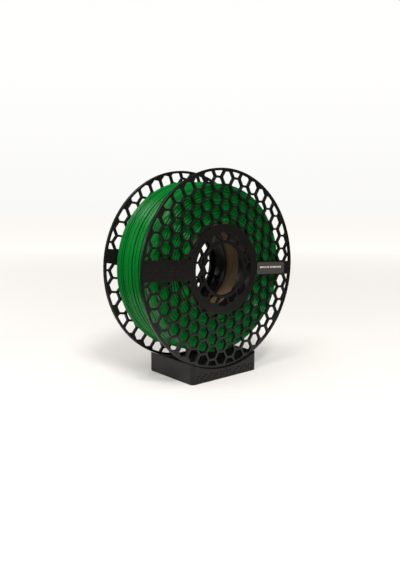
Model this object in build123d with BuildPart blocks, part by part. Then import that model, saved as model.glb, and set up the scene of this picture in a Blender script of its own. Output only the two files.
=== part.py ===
"""Flanged spool of 3D-printer filament on a printed desk stand.

Millimetres. +Z is up and the spool turns about an axis along Y. The front of the object looks
along -Y. The origin is the middle of the stand's underside.
"""
import os
from math import ceil, cos, hypot, radians, sin, sqrt

from build123d import *

# ---- Driving dimensions -------------------------------------------------------------------

# Flanges: two identical honeycomb plates, each with a hub collar that goes into the core
flange_diameter = 200.0
flange_thickness = 3.0
rim_width = 2.5
rim_round = 0.6
spool_width = 66.8  # over the outer faces of both flanges
bore_diameter = 52.0
bore_ring_width = 3.0
collar_wall = 2.0
collar_depth = 20.0
collar_lead_in = 0.8
hub_ring_width = 8.0  # solid ring of the plate that the collar stands on
hub_ring_inset = 3.5  # of the ring's inner edge from the collar's inside

# Honeycomb of the flanges
cell_pitch = 13.95  # from the middle of one cell to the middle of the next
cell_wall = 2.1
cell_corner = 0.9
cell_reach_past_rim = 2.0  # a cell whose middle lies further out than this is left closed
smallest_opening = 9.0  # square millimetres; smaller slivers are left closed
name_band_height = 20.0
label_band_height = 14.3

# How far each flange was turned when it was pressed on, as seen from the front
front_flange_turn = -2.74
rear_flange_turn = -8.57

# Cardboard core
core_inner_diameter = 86.0
core_wall = 3.0
collar_fit = 0.1  # radial clearance of the collar in the core

# Wound filament
winding_fit = 0.2  # radial clearance on the core
winding_end_gap = 2.0  # to the inner face of each flange
winding_front_inset = 15.6  # from the flange's edge in to the winding's front edge
winding_rear_inset = 12.0
winding_bulge = 0.8
winding_edge_round = 2.0

# Label stuck on the front flange
label_side_gap = 0.9  # to each edge of the band it lies on
label_inner_gap = 1.0  # from the hub ring
label_outer_gap = 9.1  # to the rim
label_thickness = 0.2
label_corner = 1.0

# Raised ornament on the wide band of each flange: a row of hexagon outlines
badge_across_flats = 7.0
badge_spacing = 9.0
badge_line = 0.8
badge_rise = 0.4

# Desk stand
stand_height = 20.2
stand_floor = 10.5  # thickness under the lowest point of the spool
stand_lip = 0.97  # left at each end of the trough's mouth
stand_overhang = 2.4  # past the outer face of each flange
stand_corner = 4.0
stand_edge = 0.4
cradle_clearance = 0.3
stand_mark_across_flats = 6.8  # hexagon outlines let into the stand's front
stand_mark_spacing = 8.8
stand_mark_line = 0.9
stand_mark_depth = 0.6

# ---- Worked out from them -----------------------------------------------------------------

flange_radius = flange_diameter / 2
rim_inner_radius = flange_radius - rim_width
bore_radius = bore_diameter / 2
bore_ring_radius = bore_radius + bore_ring_width
core_inner_radius = core_inner_diameter / 2
core_outer_radius = core_inner_radius + core_wall
collar_outer_radius = core_inner_radius - collar_fit
collar_inner_radius = collar_outer_radius - collar_wall
hub_ring_inner_radius = collar_inner_radius - hub_ring_inset
hub_ring_radius = hub_ring_inner_radius + hub_ring_width
flange_gap = spool_width - 2 * flange_thickness
cell_radius = (cell_pitch - cell_wall) / sqrt(3)  # middle of a cell to its corner
badge_count = int((rim_inner_radius - hub_ring_radius) / badge_spacing)

label_inner_edge = hub_ring_radius + label_inner_gap
label_length = rim_inner_radius - label_outer_gap - label_inner_edge
label_height = label_band_height - 2 * label_side_gap

cradle_radius = flange_radius + cradle_clearance
axis_height = stand_floor + cradle_radius
trough_half_width = sqrt(cradle_radius**2 - (axis_height - stand_height) ** 2)
stand_width = 2 * (trough_half_width + stand_lip)
stand_depth = spool_width + 2 * stand_overhang
stand_mark_count = int((stand_width - 2 * stand_corner) / stand_mark_spacing)
spool_axis = Axis((0, 0, axis_height), (0, 1, 0))

FRONT = -1
REAR = 1


def cell_centres():
    """Middles of the honeycomb's cells: flat-topped hexagons, even about both centre lines."""
    column_pitch = cell_pitch * sqrt(3) / 2
    reach = rim_inner_radius + cell_reach_past_rim
    columns = ceil(reach / column_pitch)
    rows = ceil(reach / cell_pitch)
    centres = []
    for column in range(-columns, columns + 1):
        half_step = 0.5 if column % 2 == 0 else 0.0
        for row in range(-rows - 1, rows + 1):
            x = column * column_pitch
            y = (row + half_step) * cell_pitch
            if hypot(x, y) <= reach:
                centres.append((x, y))
    return centres


def hexagon_outline(across_flats, line):
    """Adds a flat-topped hexagon's outline to the sketch that is open."""
    RegularPolygon(across_flats / 2, 6, major_radius=False)
    RegularPolygon(across_flats / 2 - line, 6, major_radius=False, mode=Mode.SUBTRACT)


def flange_plane(side, turn):
    """Plane on a flange's outer face that looks outwards, with its x along the label band."""
    angle = radians(turn)
    return Plane(
        origin=(0, side * spool_width / 2, axis_height),
        x_dir=(-side * cos(angle), 0, -side * sin(angle)),
        z_dir=(0, side, 0),
    )


# ---- Flanges: made once, lying down with the plate's outer face on XY, and placed twice -----

band_length = rim_inner_radius - collar_inner_radius + rim_width / 2
band_middle = collar_inner_radius + band_length / 2
badge_middle = (hub_ring_radius + rim_inner_radius) / 2

with BuildSketch() as openings:
    with Locations(*cell_centres()):
        RegularPolygon(cell_radius, 6)
    fillet(openings.vertices(), cell_corner)
    Circle(rim_inner_radius, mode=Mode.INTERSECT)
    Circle(bore_ring_radius, mode=Mode.SUBTRACT)
    with BuildSketch(mode=Mode.SUBTRACT):
        Circle(hub_ring_radius)
        Circle(hub_ring_inner_radius, mode=Mode.SUBTRACT)
    with Locations((-band_middle, 0)):
        Rectangle(band_length, name_band_height, mode=Mode.SUBTRACT)
    with Locations((band_middle, 0)):
        Rectangle(band_length, label_band_height, mode=Mode.SUBTRACT)

with BuildPart() as flange:
    with BuildSketch():
        Circle(flange_radius)
        Circle(bore_radius, mode=Mode.SUBTRACT)
    extrude(amount=-flange_thickness)
    fillet(flange.edges().filter_by(GeomType.CIRCLE).group_by(SortBy.RADIUS)[-1], rim_round)
    cells = [cell for cell in openings.faces() if cell.area >= smallest_opening]
    extrude(to_extrude=cells, amount=-flange_thickness, mode=Mode.SUBTRACT)
    with BuildSketch():
        with Locations((-badge_middle, 0)):
            with GridLocations(badge_spacing, 0, badge_count, 1):
                hexagon_outline(badge_across_flats, badge_line)
    extrude(amount=badge_rise)

with BuildPart() as collar:
    with BuildSketch(Plane.XY.offset(-flange_thickness)):
        Circle(collar_outer_radius)
        Circle(collar_inner_radius, mode=Mode.SUBTRACT)
    extrude(amount=-collar_depth)
    collar_tip = collar.faces().sort_by(Axis.Z)[0]
    chamfer(collar_tip.edges().sort_by(SortBy.RADIUS)[-1], collar_lead_in)

front_place = flange_plane(FRONT, front_flange_turn).location
rear_place = flange_plane(REAR, rear_flange_turn).location

front_flange = flange.part.moved(front_place)
front_flange.label = "front_flange"

front_collar = collar.part.moved(front_place)
front_collar.label = "front_collar"

rear_flange = flange.part.moved(rear_place)
rear_flange.label = "rear_flange"

rear_collar = collar.part.moved(rear_place)
rear_collar.label = "rear_collar"

# ---- Cardboard core -----------------------------------------------------------------------

with BuildPart() as core_tube:
    with BuildSketch(Plane(origin=(0, 0, axis_height), z_dir=(0, 1, 0))):
        Circle(core_outer_radius)
        Circle(core_inner_radius, mode=Mode.SUBTRACT)
    extrude(amount=flange_gap / 2, both=True)
core_tube.part.label = "core_tube"

# ---- Wound filament: one closed ring of its outer shape -----------------------------------

winding_inner_radius = core_outer_radius + winding_fit
winding_half_width = flange_gap / 2 - winding_end_gap
winding_front_radius = flange_radius - winding_front_inset
winding_rear_radius = flange_radius - winding_rear_inset
winding_middle_radius = (winding_front_radius + winding_rear_radius) / 2 + winding_bulge

with BuildPart() as filament_winding:
    with BuildSketch(Plane(origin=(0, 0, axis_height), x_dir=(0, 1, 0), z_dir=(1, 0, 0))) as section:
        with BuildLine():
            Polyline(
                (-winding_half_width, winding_front_radius),
                (-winding_half_width, winding_inner_radius),
                (winding_half_width, winding_inner_radius),
                (winding_half_width, winding_rear_radius),
            )
            ThreePointArc(
                (-winding_half_width, winding_front_radius),
                (0, winding_middle_radius),
                (winding_half_width, winding_rear_radius),
            )
        make_face()
        fillet(section.vertices().sort_by(Axis.Y)[-2:], winding_edge_round)
    revolve(axis=spool_axis)
filament_winding.part.label = "filament_winding"

# ---- Label on the front flange ------------------------------------------------------------

with BuildPart() as front_label:
    with BuildSketch(flange_plane(FRONT, front_flange_turn)):
        with Locations((label_inner_edge + label_length / 2, 0)):
            RectangleRounded(label_length, label_height, label_corner)
    extrude(amount=label_thickness)
front_label.part.label = "front_label"

# ---- Desk stand: printed block with a trough that fits the flanges -------------------------

with BuildPart() as stand_body:
    with BuildSketch():
        RectangleRounded(stand_width, stand_depth, stand_corner)
    extrude(amount=stand_height)
    chamfer(stand_body.faces().sort_by(Axis.Z)[0].edges(), stand_edge)
    with BuildSketch(Plane(origin=(0, 0, axis_height), z_dir=(0, 1, 0))):
        Circle(cradle_radius)
    extrude(amount=stand_depth, both=True, mode=Mode.SUBTRACT)
    with BuildSketch(Plane.XZ.offset(stand_depth / 2)):
        with Locations((0, stand_floor / 2)):
            with GridLocations(stand_mark_spacing, 0, stand_mark_count, 1):
                hexagon_outline(stand_mark_across_flats, stand_mark_line)
    extrude(amount=-stand_mark_depth, mode=Mode.SUBTRACT)
stand_body.part.label = "stand_body"

# ---- Files --------------------------------------------------------------------------------

os.makedirs("parts", exist_ok=True)
for piece in (
    stand_body.part,
    rear_flange,
    rear_collar,
    front_flange,
    front_collar,
    core_tube.part,
    filament_winding.part,
    front_label.part,
):
    export_step(piece, f"parts/{piece.label}.step")
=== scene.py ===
"""Filament spool with honeycomb side plates on its printed desk stand."""

from math import atan2, cos, exp, pi, radians, sin
from random import Random

import bpy
from mathutils import Matrix, Vector


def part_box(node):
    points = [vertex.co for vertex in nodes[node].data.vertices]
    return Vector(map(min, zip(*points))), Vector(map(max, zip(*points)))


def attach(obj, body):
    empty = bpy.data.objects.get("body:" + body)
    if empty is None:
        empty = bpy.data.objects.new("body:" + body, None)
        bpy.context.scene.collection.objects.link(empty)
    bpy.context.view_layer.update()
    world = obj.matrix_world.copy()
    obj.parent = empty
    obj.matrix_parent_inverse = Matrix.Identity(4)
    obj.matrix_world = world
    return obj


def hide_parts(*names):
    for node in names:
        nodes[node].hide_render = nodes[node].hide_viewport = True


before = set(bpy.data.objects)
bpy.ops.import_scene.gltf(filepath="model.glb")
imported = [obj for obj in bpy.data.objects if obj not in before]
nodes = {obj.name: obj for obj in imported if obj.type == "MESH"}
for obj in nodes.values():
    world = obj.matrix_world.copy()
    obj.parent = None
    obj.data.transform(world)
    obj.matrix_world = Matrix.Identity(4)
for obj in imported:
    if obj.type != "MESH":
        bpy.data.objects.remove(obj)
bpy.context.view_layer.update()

# ---- Sizes in metres ----------------------------------------------------------------------

MM = 0.001
core_low, core_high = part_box("core_tube")
winding_low, winding_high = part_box("filament_winding")
label_low, label_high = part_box("front_label")
axis_height = (core_low.z + core_high.z) / 2
core_radius = (core_high.z - core_low.z) / 2  # outside of the board tube
winding_outer_radius = (winding_high.z - winding_low.z) / 2
front_end = winding_low.y
rear_end = winding_high.y
axis_point = Vector((0, 0, axis_height))

strand = 1.75 * MM
strand_radius = strand / 2
layer_step = 1.54 * MM  # a layer lies in the hollows of the one below
turn_pitch = 1.79 * MM
winding_fit = 0.2 * MM  # between the board tube and the first layer
front_fall = 3.6 * MM  # the winding is this much lower at its front end than at its rear
outer_segments = 144  # round each turn of the top layer
end_segments = 112  # round each turn seen through the side plates' cells
strand_segments = 8  # round the strand itself

# Furrows in the top layer, in millimetres: place along the spool, depth and half width
furrows = (
    (-16, 1.0, 1.2),
    (-8, 2.0, 1.3),
    (-2.5, 0.8, 1.2),
    (3.5, 1.9, 1.3),
    (9.5, 1.1, 1.2),
    (14.5, 0.7, 1.2),
    (19.5, 3.2, 2.0),
)

rng = Random(7)


# ---- Small helpers -------------------------------------------------------------------------


def linear(colour):
    """A six-digit sRGB hex colour as linear RGBA."""
    rgb = []
    for start in (0, 2, 4):
        part = int(colour[start : start + 2], 16) / 255
        rgb.append(part / 12.92 if part <= 0.04045 else ((part + 0.055) / 1.055) ** 2.4)
    return (*rgb, 1.0)


def add_node(tree, kind, settings=None, values=None, links=None):
    """Adds a node with its settings, its sockets' values and what feeds its sockets."""
    node = tree.nodes.new(kind)
    for name, value in (settings or {}).items():
        setattr(node, name, value)
    for socket, value in (values or {}).items():
        node.inputs[socket].default_value = value
    for socket, source in (links or {}).items():
        tree.links.new(source, node.inputs[socket])
    return node


def new_material(name):
    """An empty material: its tree, its shader and its Object coordinates."""
    material = bpy.data.materials.new(name)
    material.use_nodes = True
    tree = material.node_tree
    tree.nodes.clear()
    shader = add_node(tree, "ShaderNodeBsdfPrincipled")
    add_node(tree, "ShaderNodeOutputMaterial", links={"Surface": shader.outputs["BSDF"]})
    place = add_node(tree, "ShaderNodeTexCoord").outputs["Object"]
    return material, tree, shader, place


def deselect():
    bpy.ops.object.select_all(action="DESELECT")


def join(pieces, name):
    """Joins mesh objects into one and gives it a name."""
    deselect()
    for piece in pieces:
        piece.select_set(True)
    bpy.context.view_layer.objects.active = pieces[0]
    if len(pieces) > 1:
        bpy.ops.object.join()
    piece = bpy.context.active_object
    piece.name = name
    piece.data.name = name
    return piece


def settle(piece):
    """Puts a piece's place into its mesh, so that its object sits at the origin."""
    deselect()
    piece.select_set(True)
    bpy.context.view_layer.objects.active = piece
    bpy.ops.object.transform_apply(location=True, rotation=True, scale=True)


def paint(piece, material):
    """Gives a piece one material in place of any it has."""
    piece.data.materials.clear()
    piece.data.materials.append(material)


# ---- Materials -----------------------------------------------------------------------------


def moulded_plastic():
    """Black ABS, injection moulded in a lightly spark-eroded tool: a satin, slightly brown black."""
    material, tree, shader, place = new_material("moulded_black_abs")
    flow = add_node(
        tree, "ShaderNodeTexNoise",
        values={"Scale": 1 / (28 * MM), "Detail": 3.0}, links={"Vector": place},
    )
    tint = add_node(
        tree, "ShaderNodeMix",
        {"data_type": "RGBA"}, {"A": linear("0d0b0a"), "B": linear("151110")},
        {"Factor": flow.outputs["Fac"]},
    )
    # the grain of such a tool is about 0.1 mm and is drawn at 0.45 mm so that it shows
    grain = add_node(
        tree, "ShaderNodeTexNoise",
        values={"Scale": 1 / (0.45 * MM), "Detail": 4.0, "Roughness": 0.6},
        links={"Vector": place},
    )
    scuffs = add_node(
        tree, "ShaderNodeTexNoise",
        values={"Scale": 1 / (6 * MM), "Detail": 6.0, "Distortion": 1.5},
        links={"Vector": place},
    )
    gloss = add_node(
        tree, "ShaderNodeMapRange",
        values={"From Min": 0.3, "From Max": 0.7, "To Min": 0.32, "To Max": 0.46},
        links={"Value": scuffs.outputs["Fac"]},
    )
    edge = add_node(tree, "ShaderNodeBevel", {"samples": 4}, {"Radius": 0.3 * MM})
    bump = add_node(
        tree, "ShaderNodeBump", values={"Strength": 0.22, "Distance": 0.08 * MM},
        links={"Height": grain.outputs["Fac"], "Normal": edge.outputs["Normal"]},
    )
    tree.links.new(tint.outputs["Result"], shader.inputs["Base Color"])
    tree.links.new(gloss.outputs["Result"], shader.inputs["Roughness"])
    tree.links.new(bump.outputs["Normal"], shader.inputs["Normal"])
    shader.inputs["IOR"].default_value = 1.5
    shader.inputs["Specular IOR Level"].default_value = 0.42
    return material


def printed_plastic():
    """Black PLA laid down by a printer: fine level layer lines, satin along them."""
    material, tree, shader, place = new_material("printed_black_pla")
    # printed in 0.2 mm layers, drawn 0.4 mm apart so that they show; a wave texture repeats
    # every pi / (10 * scale)
    drawn_layer = 0.4 * MM
    wave_scale = pi / (10 * drawn_layer)
    layers = add_node(
        tree, "ShaderNodeTexWave", {"wave_type": "BANDS", "bands_direction": "Z"},
        {"Scale": wave_scale, "Distortion": 0.6, "Detail": 2.0, "Detail Scale": 0.01},
        {"Vector": place},
    )
    blotch = add_node(
        tree, "ShaderNodeTexNoise",
        values={"Scale": 1 / (18 * MM), "Detail": 4.0}, links={"Vector": place},
    )
    tint = add_node(
        tree, "ShaderNodeMix",
        {"data_type": "RGBA"}, {"A": linear("0f0c0a"), "B": linear("18130f")},
        {"Factor": blotch.outputs["Fac"]},
    )
    gloss = add_node(
        tree, "ShaderNodeMapRange",
        values={"From Min": 0.3, "From Max": 0.7, "To Min": 0.32, "To Max": 0.48},
        links={"Value": blotch.outputs["Fac"]},
    )
    bump = add_node(
        tree, "ShaderNodeBump", values={"Strength": 0.35, "Distance": 0.06 * MM},
        links={"Height": layers.outputs["Fac"]},
    )
    tree.links.new(tint.outputs["Result"], shader.inputs["Base Color"])
    tree.links.new(gloss.outputs["Result"], shader.inputs["Roughness"])
    tree.links.new(bump.outputs["Normal"], shader.inputs["Normal"])
    shader.inputs["IOR"].default_value = 1.46
    shader.inputs["Specular IOR Level"].default_value = 0.36
    return material


def spiral_board():
    """Brown board tube wound from paper strips: matt and fibrous, with the strips' slanting seams."""
    strip_width = 70 * MM  # so a seam comes round every 70 mm along the tube
    material, tree, shader, place = new_material("spiral_wound_board")
    centred = add_node(
        tree, "ShaderNodeMapping",
        values={"Location": (0, 0, -axis_height)}, links={"Vector": place},
    )
    axes = add_node(tree, "ShaderNodeSeparateXYZ", links={"Vector": centred.outputs["Vector"]})
    turn = add_node(tree, "ShaderNodeMath", {"operation": "ARCTAN2"})
    tree.links.new(axes.outputs["Z"], turn.inputs[0])
    tree.links.new(axes.outputs["X"], turn.inputs[1])
    slant = add_node(
        tree, "ShaderNodeMath", {"operation": "MULTIPLY_ADD"}, {1: strip_width / (2 * pi)},
        {0: turn.outputs[0], 2: axes.outputs["Y"]},
    )
    strip = add_node(
        tree, "ShaderNodeMath",
        {"operation": "PINGPONG"}, {1: strip_width / 2}, {0: slant.outputs[0]},
    )
    seam = add_node(
        tree, "ShaderNodeMapRange",
        values={"From Min": 0.0, "From Max": 0.5 * MM, "To Min": 0.0, "To Max": 1.0},
        links={"Value": strip.outputs[0]},
    )
    fibres = add_node(
        tree, "ShaderNodeTexNoise",
        values={"Scale": 1 / (1.1 * MM), "Detail": 6.0, "Roughness": 0.7},
        links={"Vector": centred.outputs["Vector"]},
    )
    pulp = add_node(tree, "ShaderNodeValToRGB", links={"Fac": fibres.outputs["Fac"]})
    for stop, position, colour in zip(pulp.color_ramp.elements, (0.3, 0.72), ("50402d", "766246")):
        stop.position = position
        stop.color = linear(colour)
    shade = add_node(
        tree, "ShaderNodeMix", {"data_type": "RGBA"}, {"A": linear("30251a")},
        {"Factor": seam.outputs["Result"], "B": pulp.outputs["Color"]},
    )
    height = add_node(
        tree, "ShaderNodeMath", {"operation": "MULTIPLY_ADD"}, {1: 0.4},
        {0: fibres.outputs["Fac"], 2: seam.outputs["Result"]},
    )
    bump = add_node(
        tree, "ShaderNodeBump",
        values={"Strength": 0.4, "Distance": 0.15 * MM}, links={"Height": height.outputs[0]},
    )
    tree.links.new(shade.outputs["Result"], shader.inputs["Base Color"])
    tree.links.new(bump.outputs["Normal"], shader.inputs["Normal"])
    shader.inputs["Roughness"].default_value = 0.9
    shader.inputs["Specular IOR Level"].default_value = 0.25
    return material


def drawn_filament():
    """Green PLA drawn through a die: even colour, a soft gloss and faint marks along the strand."""
    material, tree, shader, place = new_material("green_pla_filament")
    drift = add_node(
        tree, "ShaderNodeTexNoise",
        values={"Scale": 1 / (35 * MM), "Detail": 2.0}, links={"Vector": place},
    )
    tint = add_node(
        tree, "ShaderNodeMix",
        {"data_type": "RGBA"}, {"A": linear("006420"), "B": linear("00782a")},
        {"Factor": drift.outputs["Fac"]},
    )
    marks = add_node(
        tree, "ShaderNodeTexNoise",
        values={"Scale": 1 / (0.8 * MM), "Detail": 3.0}, links={"Vector": place},
    )
    gloss = add_node(
        tree, "ShaderNodeMapRange",
        values={"From Min": 0.3, "From Max": 0.7, "To Min": 0.2, "To Max": 0.3},
        links={"Value": marks.outputs["Fac"]},
    )
    bump = add_node(
        tree, "ShaderNodeBump", values={"Strength": 0.1, "Distance": 0.04 * MM},
        links={"Height": marks.outputs["Fac"]},
    )
    tree.links.new(tint.outputs["Result"], shader.inputs["Base Color"])
    tree.links.new(gloss.outputs["Result"], shader.inputs["Roughness"])
    tree.links.new(bump.outputs["Normal"], shader.inputs["Normal"])
    shader.inputs["IOR"].default_value = 1.46
    shader.inputs["Specular IOR Level"].default_value = 0.27
    return material


def label_film():
    """Grey polypropylene label film: smooth and satin, with a faint mottle from its printing."""
    material, tree, shader, place = new_material("grey_label_film")
    mottle = add_node(
        tree, "ShaderNodeTexNoise",
        values={"Scale": 1 / (1.5 * MM), "Detail": 4.0}, links={"Vector": place},
    )
    tint = add_node(
        tree, "ShaderNodeMix",
        {"data_type": "RGBA"}, {"A": linear("3b3734"), "B": linear("45403d")},
        {"Factor": mottle.outputs["Fac"]},
    )
    bump = add_node(
        tree, "ShaderNodeBump", values={"Strength": 0.08, "Distance": 0.03 * MM},
        links={"Height": mottle.outputs["Fac"]},
    )
    tree.links.new(tint.outputs["Result"], shader.inputs["Base Color"])
    tree.links.new(bump.outputs["Normal"], shader.inputs["Normal"])
    shader.inputs["Roughness"].default_value = 0.42
    return material


def white_ink():
    """White screen-printing ink: matt, with a slightly uneven cover."""
    material, tree, shader, place = new_material("white_screen_ink")
    cover = add_node(
        tree, "ShaderNodeTexNoise",
        values={"Scale": 1 / (0.6 * MM), "Detail": 3.0}, links={"Vector": place},
    )
    tint = add_node(
        tree, "ShaderNodeMix",
        {"data_type": "RGBA"}, {"A": linear("bdb9b4"), "B": linear("dedbd6")},
        {"Factor": cover.outputs["Fac"]},
    )
    tree.links.new(tint.outputs["Result"], shader.inputs["Base Color"])
    shader.inputs["Roughness"].default_value = 0.6
    return material


def studio_paper():
    """Seamless white background paper: matt, with a very faint tooth."""
    material, tree, shader, place = new_material("white_background_paper")
    tooth = add_node(
        tree, "ShaderNodeTexNoise",
        values={"Scale": 1 / (2 * MM), "Detail": 3.0}, links={"Vector": place},
    )
    tint = add_node(
        tree, "ShaderNodeMix",
        {"data_type": "RGBA"}, {"A": linear("e7e4e0"), "B": linear("eae7e3")},
        {"Factor": tooth.outputs["Fac"]},
    )
    tree.links.new(tint.outputs["Result"], shader.inputs["Base Color"])
    shader.inputs["Roughness"].default_value = 0.9
    shader.inputs["Specular IOR Level"].default_value = 0.0
    # painted light: the sheet glows a little everywhere, which lifts the shade near the spool, and
    # glows more further off, from 0.3 m out to 1.8 m, so that it fades into the white backdrop
    distance = add_node(tree, "ShaderNodeVectorMath", {"operation": "LENGTH"}, links={0: place})
    painted_glow = add_node(
        tree, "ShaderNodeMapRange",
        values={"From Min": 0.3, "From Max": 1.8, "To Min": 0.09, "To Max": 0.5},
        links={"Value": distance.outputs["Value"]},
    )
    shader.inputs["Emission Color"].default_value = linear("fffdfa")
    tree.links.new(painted_glow.outputs["Result"], shader.inputs["Emission Strength"])
    return material


# ---- Wound filament ------------------------------------------------------------------------


def turn_of_filament(radius, along, lean, lean_towards, segments):
    """One turn of the strand about the spool's axis, leaning a little so that it isn't flat."""
    bpy.ops.mesh.primitive_torus_add(
        major_radius=radius, minor_radius=strand_radius,
        major_segments=segments, minor_segments=strand_segments,
    )
    ring = bpy.context.active_object
    upright = Matrix.Rotation(pi / 2, 4, "X")
    tipped = Matrix.Rotation(lean, 4, Vector((cos(lean_towards), 0, sin(lean_towards))))
    ring.matrix_world = Matrix.Translation(axis_point + Vector((0, along, 0))) @ tipped @ upright
    return ring


def surface_radius(along):
    """Radius of the top layer at a place along the spool: it rises rearwards, with furrows."""
    share = (along - front_end) / (rear_end - front_end)
    radius = winding_outer_radius - strand_radius - front_fall * (1 - share) ** 2.2
    for place, depth, reach in furrows:
        radius -= depth * MM * exp(-(((along / MM - place) / reach) ** 2))
    return radius


def wavy(piece, name, amount, size, direction):
    """Lets the turns wander a little, as uneven tension and the traversing guide leave them."""
    cloud = bpy.data.textures.new(name, "CLOUDS")
    cloud.noise_scale = size
    cloud.noise_depth = 1
    waves = piece.modifiers.new(name, "DISPLACE")
    waves.texture = cloud
    waves.texture_coords = "LOCAL"
    waves.direction = direction
    waves.strength = amount
    waves.mid_level = 0.5
    bpy.context.view_layer.objects.active = piece
    bpy.ops.object.modifier_apply(modifier=waves.name)


def finish_turns(rings, name, drift):
    """Makes one piece of some turns, lets them drift along the spool and puts it on the core."""
    piece = join(rings, name)
    settle(piece)
    bpy.ops.object.shade_smooth()
    wavy(piece, name + "_drift", drift, 30 * MM, "Y")
    return put_on_core(piece)


def put_on_core(piece):
    """Makes a piece filament that turns with the core."""
    paint(piece, filament)
    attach(piece, "wound_core")
    return piece


def outer_turns():
    """The top layer, side by side over the whole width, leaning most at its middle."""
    uneven = 0.22 * MM
    most_lean = radians(0.5)
    rings = []
    count = int((rear_end - front_end - strand) / turn_pitch) + 1
    start = (front_end + rear_end) / 2 - (count - 1) * turn_pitch / 2
    for index in range(count):
        along = start + index * turn_pitch
        radius = surface_radius(along) + rng.uniform(-uneven, uneven)
        lean = most_lean * (1 - (along / rear_end) ** 2)
        towards = rng.uniform(1.3, 1.8)
        rings.append(turn_of_filament(radius, along, lean, towards, outer_segments))
    return finish_turns(rings, "outer_turns", 1.0 * MM)


def end_turns(side, name):
    """The last two turns of every layer at one end, as the side plate's cells show them.

    Every other layer stops short of the one below, and the first few bulge out past the rest.
    """
    bulging_layers = 3
    bulge = 1.2 * MM
    rings = []
    end = front_end if side < 0 else rear_end
    top = surface_radius(end) - 0.4 * layer_step
    radius = core_radius + winding_fit + strand_radius
    layer = 0
    while radius < top:
        short = rng.uniform(0.7, 1.3) if layer % 2 else rng.uniform(0.0, 0.25)
        inset = strand_radius + short * MM
        if layer < bulging_layers:
            inset = strand_radius - bulge
        lean = rng.uniform(0.1, 0.5) * MM / radius
        towards = rng.uniform(0, 2 * pi)
        for turn in range(2):
            along = end - side * (inset + turn * turn_pitch)
            rings.append(turn_of_filament(radius, along, lean, towards, end_segments))
        radius += layer_step
        layer += 1
    return finish_turns(rings, name, 0.3 * MM)


def inner_layers():
    """The layers below, which only darken the furrows between the turns that show."""
    outer = surface_radius(front_end) - 1.7 * layer_step
    width = rear_end - front_end - 4.5 * strand
    bpy.ops.mesh.primitive_cylinder_add(
        vertices=128, radius=outer, depth=width, end_fill_type="NOTHING",
        location=axis_point, rotation=(pi / 2, 0, 0),
    )
    piece = bpy.context.active_object
    wall = piece.modifiers.new("wall", "SOLIDIFY")
    wall.thickness = outer - core_radius - winding_fit - 0.05 * MM
    wall.offset = -1
    bpy.ops.object.modifier_apply(modifier=wall.name)
    settle(piece)
    bpy.ops.object.shade_smooth_by_angle(angle=radians(40))
    piece.name = "inner_layers"
    return put_on_core(piece)


def label_print():
    """A row of small white bars printed across the label."""
    bar_height = 1.9 * MM
    ink_thickness = 0.04 * MM
    bar_corner = 0.2 * MM
    above_middle = 1.0 * MM
    sunk_in = 0.01 * MM
    middle = (label_low + label_high) / 2
    tilt = atan2(middle.z - axis_height, middle.x)
    along = Vector((cos(tilt), 0, sin(tilt)))
    up = Vector((-sin(tilt), 0, cos(tilt)))
    flat_to_label = Matrix.Rotation(-tilt, 4, "Y") @ Matrix.Rotation(pi / 2, 4, "X")
    bars = []
    reach = -16.5 * MM
    while reach < 15 * MM:
        width = rng.choice((0.7, 1.0, 1.2)) * MM
        bpy.ops.mesh.primitive_plane_add(size=1)
        bar = bpy.context.active_object
        bar.scale = (width, bar_height, 1)
        settle(bar)
        bpy.ops.object.mode_set(mode="EDIT")
        bpy.ops.mesh.select_all(action="SELECT")
        bpy.ops.mesh.bevel(offset=bar_corner, segments=3, affect="VERTICES")
        bpy.ops.mesh.select_all(action="SELECT")
        bpy.ops.mesh.extrude_region_move(TRANSFORM_OT_translate={"value": (0, 0, ink_thickness)})
        bpy.ops.mesh.select_all(action="SELECT")
        bpy.ops.mesh.normals_make_consistent(inside=False)
        bpy.ops.object.mode_set(mode="OBJECT")
        spot = middle + along * (reach + width / 2) + up * above_middle
        spot.y = label_low.y + sunk_in
        bar.matrix_world = Matrix.Translation(spot) @ flat_to_label
        bars.append(bar)
        reach += width + rng.choice((0.8, 0.8, 0.8, 1.9)) * MM
    piece = join(bars, "label_print")
    settle(piece)
    paint(piece, white_ink())
    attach(piece, "front_side")
    return piece


# ---- The object ----------------------------------------------------------------------------

deselect()
filament = drawn_filament()
black_moulding = moulded_plastic()
for name in ("front_flange", "front_collar", "rear_flange", "rear_collar"):
    paint(nodes[name], black_moulding)
paint(nodes["stand_body"], printed_plastic())
paint(nodes["core_tube"], spiral_board())
paint(nodes["front_label"], label_film())

windings = outer_turns()
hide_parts("filament_winding")
end_turns(-1, "front_end_turns")
end_turns(1, "rear_end_turns")
inner_layers()
label_print()

# ---- Floor, light and camera ---------------------------------------------------------------

paper = studio_paper()
table_radius = 0.24
sheet_spread = 40  # the sheet reaches out to this many times the table's radius

bpy.ops.mesh.primitive_circle_add(vertices=96, radius=table_radius, fill_type="NGON")
table_top = bpy.context.active_object
table_top.name = "table_top"
paint(table_top, paper)

# the sheet further off is kept out of reflections, as a dark room beyond the table would be
deselect()
bpy.ops.mesh.primitive_circle_add(vertices=96, radius=table_radius)
far_sheet = bpy.context.active_object
far_sheet.name = "far_sheet"
bpy.ops.object.mode_set(mode="EDIT")
bpy.ops.mesh.select_all(action="SELECT")
bpy.ops.mesh.extrude_region_move()
bpy.ops.transform.resize(value=(sheet_spread, sheet_spread, sheet_spread))
bpy.ops.object.mode_set(mode="OBJECT")
far_sheet.visible_glossy = False
paint(far_sheet, paper)


def softbox(name, place, size, power):
    """A square softbox that faces the spool's axis; place and size in metres, power in watts."""
    light = bpy.data.lights.new(name, "AREA")
    light.size = size
    light.energy = power
    lamp = bpy.data.objects.new(name, light)
    bpy.context.scene.collection.objects.link(lamp)
    lamp.location = place
    lamp.rotation_euler = (Vector(place) - axis_point).to_track_quat("Z", "Y").to_euler()


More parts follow.
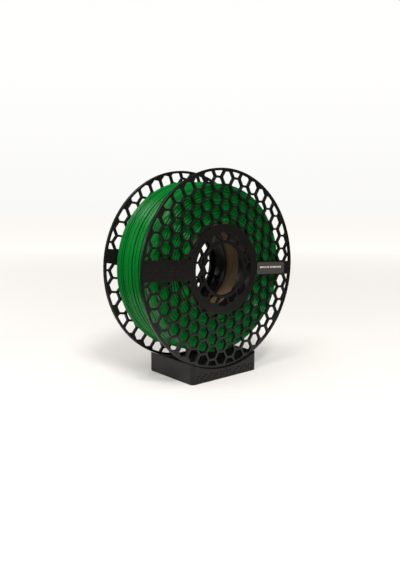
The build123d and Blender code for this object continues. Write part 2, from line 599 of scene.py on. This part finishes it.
softbox("key", (-0.4, -0.85, 1.1), 0.3, 11)
softbox("overhead", (-0.6, -0.1, 1.25), 0.7, 6)
softbox("edge", (-0.7, 1.05, 0.55), 0.3, 1)

# A white backdrop for the camera, soft light for the surfaces, and a dim room in reflections
world = bpy.data.worlds.new("studio")
world.use_nodes = True
bpy.context.scene.world = world
tree = world.node_tree
tree.nodes.clear()
ray = add_node(tree, "ShaderNodeLightPath")
direction = add_node(tree, "ShaderNodeTexCoord")
height = add_node(tree, "ShaderNodeSeparateXYZ", links={"Vector": direction.outputs["Generated"]})
fade = add_node(
    tree, "ShaderNodeMapRange",
    values={"From Min": 0.0, "From Max": 0.2, "To Min": 0.95, "To Max": 1.0},
    links={"Value": height.outputs["Z"]},
)
backdrop = add_node(
    tree, "ShaderNodeBackground",
    values={"Color": (1, 0.995, 0.985, 1)}, links={"Strength": fade.outputs["Result"]},
)
soft_light = add_node(
    tree, "ShaderNodeBackground", values={"Color": (1, 0.99, 0.97, 1), "Strength": 0.58}
)
dim_room = add_node(
    tree, "ShaderNodeBackground", values={"Color": (1, 1, 1, 1), "Strength": 0.06}
)
lighting = add_node(
    tree, "ShaderNodeMixShader",
    links={0: ray.outputs["Is Glossy Ray"], 1: soft_light.outputs[0], 2: dim_room.outputs[0]},
)
surroundings = add_node(
    tree, "ShaderNodeMixShader",
    links={0: ray.outputs["Is Camera Ray"], 1: lighting.outputs[0], 2: backdrop.outputs[0]},
)
add_node(tree, "ShaderNodeOutputWorld", links={"Surface": surroundings.outputs[0]})

azimuth = radians(-40.04)
elevation = radians(7.05)
from_axis = Vector((-380.53, -447.94, 61.50)) * MM
camera_data = bpy.data.cameras.new("camera")
camera_data.sensor_width = 36
camera_data.lens = 35.7158
camera_data.shift_y = -0.013614
camera = bpy.data.objects.new("camera", camera_data)
bpy.context.scene.collection.objects.link(camera)
backwards = Vector((sin(azimuth) * cos(elevation), -cos(azimuth) * cos(elevation), sin(elevation)))
camera.rotation_euler = backwards.to_track_quat("Z", "Y").to_euler()
camera.location = axis_point + from_axis
bpy.context.scene.camera = camera

bpy.context.scene.view_settings.view_transform = "Standard"
